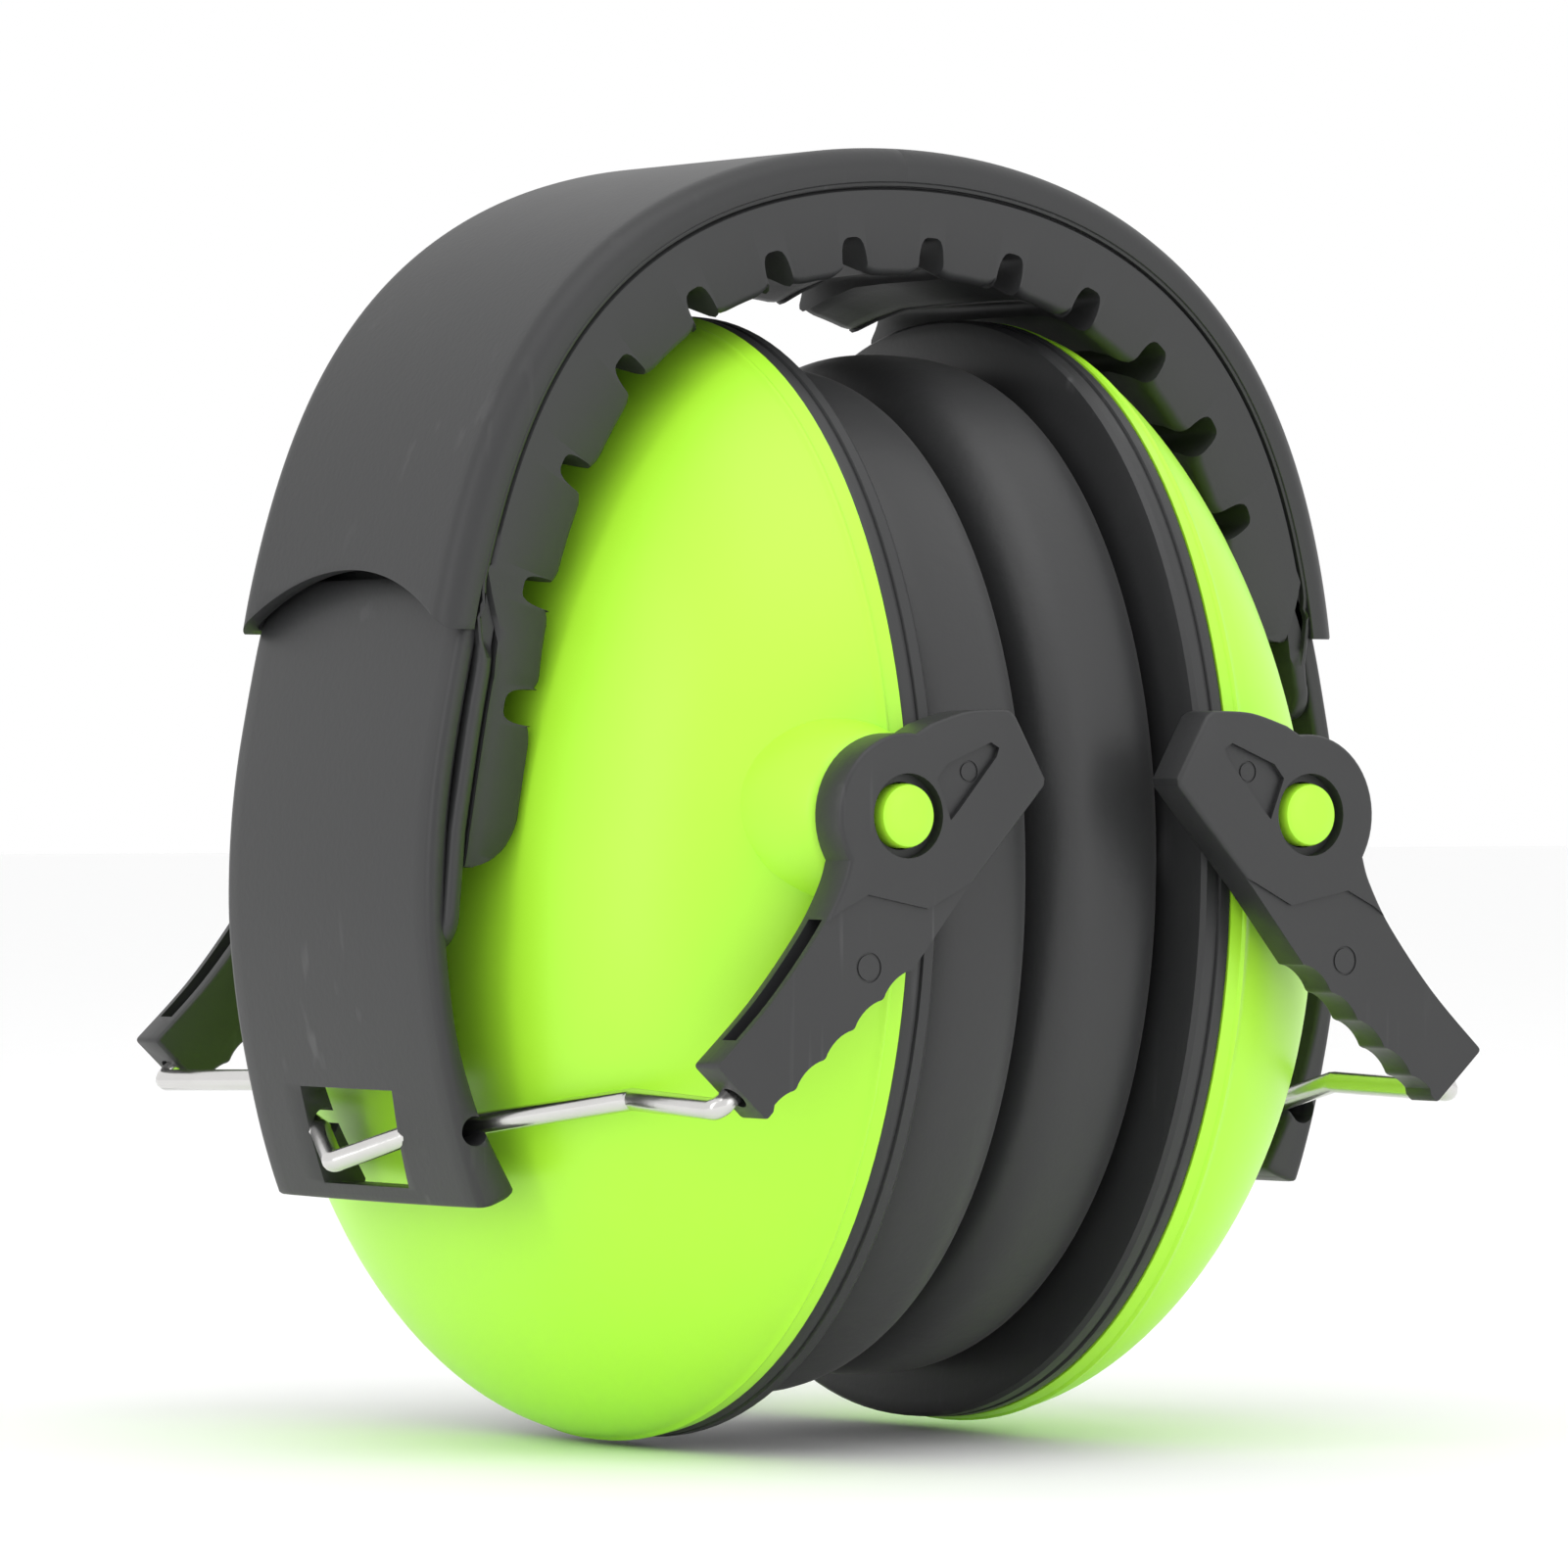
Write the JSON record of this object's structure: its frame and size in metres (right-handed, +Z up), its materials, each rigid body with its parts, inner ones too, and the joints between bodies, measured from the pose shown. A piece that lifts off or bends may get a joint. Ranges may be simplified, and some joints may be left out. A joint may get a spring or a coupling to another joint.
{
  "type": "hearing protection earmuffs",
  "caption": "Folding hearing protection earmuffs in their stored pose: lime cups tucked inside a black padded headband on spring wire yokes.",
  "frame": {"origin": "on the ground under the middle of the folded earmuffs, midway between the two cups", "axes": "+Z up, X from the left cup to the right cup, Y along the headband's width with the front at -Y"},
  "size_m": [0.1066, 0.0996, 0.1192],
  "materials": {
    "cover": "soft matt black moulded band with a fine grain",
    "strip": "satin black moulded spring strip",
    "pad": "soft matt black ribbed head pad",
    "slider": "satin black moulded slider with light rub marks",
    "arm": "satin black moulded fork arm",
    "wire": "polished spring steel wire",
    "shell": "satin lime green moulded shell",
    "ring": "satin black moulded base ring",
    "cushion": "soft black leatherette ear cushion",
    "foam": "open cell foam"
  },
  "bodies": {
    "crown": {"crown_cover": "cover", "crown_strip": "strip", "crown_pad": "pad"},
    "left_side": {"left_cover": "cover", "left_strip": "strip", "left_pad": "pad"},
    "left_slider": {"left_slider": "slider"},
    "left_yoke": {"left_yoke_wire": "wire", "left_front_arm": "arm", "left_rear_arm": "arm"},
    "left_cup": {"left_shell": "shell", "left_base_ring": "ring", "left_cushion": "cushion", "left_cushion_foam": "foam", "left_liner": "foam"},
    "right_side": {"right_cover": "cover", "right_strip": "strip", "right_pad": "pad"},
    "right_slider": {"right_slider": "slider"},
    "right_yoke": {"right_yoke_wire": "wire", "right_front_arm": "arm", "right_rear_arm": "arm"},
    "right_cup": {"right_shell": "shell", "right_base_ring": "ring", "right_cushion": "cushion", "right_cushion_foam": "foam", "right_liner": "foam"}
  },
  "joints": [
    {"name": "left_band_flex", "type": "hinge", "parent": "crown", "child": "left_side", "pos_m": [-0.01106, 0, 0.11774], "axis": [0, 1, 0], "range_deg": [0, 32], "stiffness_Nm_per_rad": 0.6},
    {"name": "left_slide", "type": "slide", "parent": "left_side", "child": "left_slider", "axis": [-0.0872, 0, -0.9962], "range_m": [0, 0.025]},
    {"name": "left_yoke_fold", "type": "hinge", "parent": "left_slider", "child": "left_yoke", "pos_m": [-0.047, 0, 0.0292], "axis": [0, 1, 0], "range_deg": [0, 64]},
    {"name": "left_cup_tilt", "type": "hinge", "parent": "left_yoke", "child": "left_cup", "pos_m": [-0.0225, 0, 0.0574], "axis": [0, -1, 0], "range_deg": [0, 96]},
    {"name": "right_band_flex", "type": "hinge", "parent": "crown", "child": "right_side", "pos_m": [0.01106, 0, 0.11774], "axis": [0, -1, 0], "range_deg": [0, 32], "stiffness_Nm_per_rad": 0.6},
    {"name": "right_slide", "type": "slide", "parent": "right_side", "child": "right_slider", "axis": [0.0872, 0, -0.9962], "range_m": [0, 0.01]},
    {"name": "right_yoke_fold", "type": "hinge", "parent": "right_slider", "child": "right_yoke", "pos_m": [0.047, 0, 0.0292], "axis": [0, -1, 0], "range_deg": [0, 64]},
    {"name": "right_cup_tilt", "type": "hinge", "parent": "right_yoke", "child": "right_cup", "pos_m": [0.0225, 0, 0.0574], "axis": [0, 1, 0], "range_deg": [0, 96]}
  ],
  "couplings": [
    {"joint": "left_yoke_fold", "follows": "left_band_flex", "ratio": 2},
    {"joint": "left_cup_tilt", "follows": "left_band_flex", "ratio": 3},
    {"joint": "right_yoke_fold", "follows": "right_band_flex", "ratio": 2},
    {"joint": "right_cup_tilt", "follows": "right_band_flex", "ratio": 3}
  ]
}
